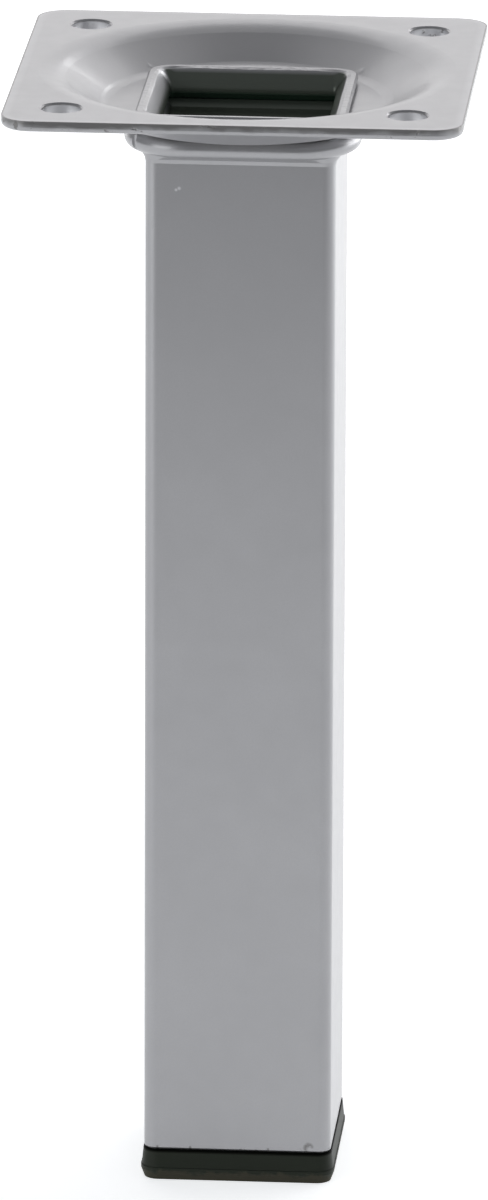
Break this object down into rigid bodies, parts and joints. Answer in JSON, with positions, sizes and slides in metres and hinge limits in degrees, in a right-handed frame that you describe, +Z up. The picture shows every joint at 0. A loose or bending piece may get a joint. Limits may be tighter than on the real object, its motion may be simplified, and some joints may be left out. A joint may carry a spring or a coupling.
{
  "type": "square metal table leg",
  "caption": "Short square tube furniture leg with a dished square mounting plate clamped on its upper end by a folded bead and a flared rim, and a push-in foot cap.",
  "frame": {"origin": "centre of the foot cap's underside, where the leg stands on the floor", "axes": "+Z up along the tube to the mounting plate, X and Y square to the tube's faces"},
  "size_m": [0.06, 0.06, 0.15],
  "materials": {
    "silver_paint": "satin",
    "black_plastic": "matte"
  },
  "bodies": {
    "root": {"mounting_plate": "silver_paint", "leg_tube": "silver_paint", "foot_cap": "black_plastic"}
  },
  "joints": []
}
